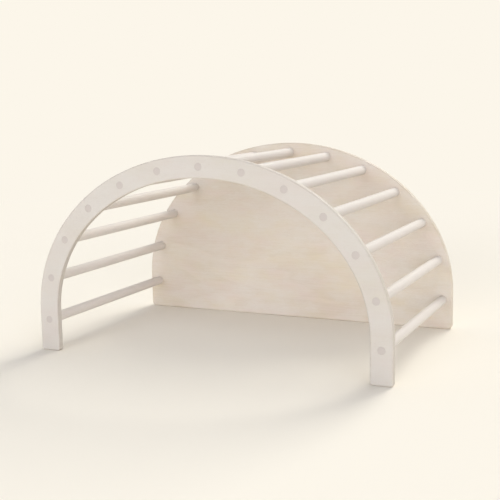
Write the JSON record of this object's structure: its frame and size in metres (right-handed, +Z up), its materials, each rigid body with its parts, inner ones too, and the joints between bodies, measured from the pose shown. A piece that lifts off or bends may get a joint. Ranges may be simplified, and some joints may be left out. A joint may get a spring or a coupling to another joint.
{
  "type": "climbing arch",
  "caption": "Wooden climbing arch for toddlers: an open plywood arch and a closed half-moon board joined by a row of round rungs, with a crawl space beneath.",
  "frame": {"origin": "on the floor, under the middle of the arch, midway between the two boards' outer faces", "axes": "+X along the arch from foot to foot, +Y from the open arch to the closed panel, +Z up"},
  "size_m": [0.96, 0.6, 0.5179],
  "materials": {
    "frame_plywood": "white-washed birch plywood, satin lacquer",
    "panel_plywood": "thinly white-washed birch plywood, satin lacquer",
    "rung_beech": "white-washed beech, satin lacquer"
  },
  "bodies": {
    "root": {"arch_frame": "frame_plywood", "side_panel": "panel_plywood", "rung_01": "rung_beech", "rung_02": "rung_beech", "rung_03": "rung_beech", "rung_04": "rung_beech", "rung_05": "rung_beech", "rung_06": "rung_beech", "rung_07": "rung_beech", "rung_08": "rung_beech", "rung_09": "rung_beech", "rung_10": "rung_beech", "rung_11": "rung_beech", "rung_12": "rung_beech", "rung_13": "rung_beech"}
  },
  "joints": []
}
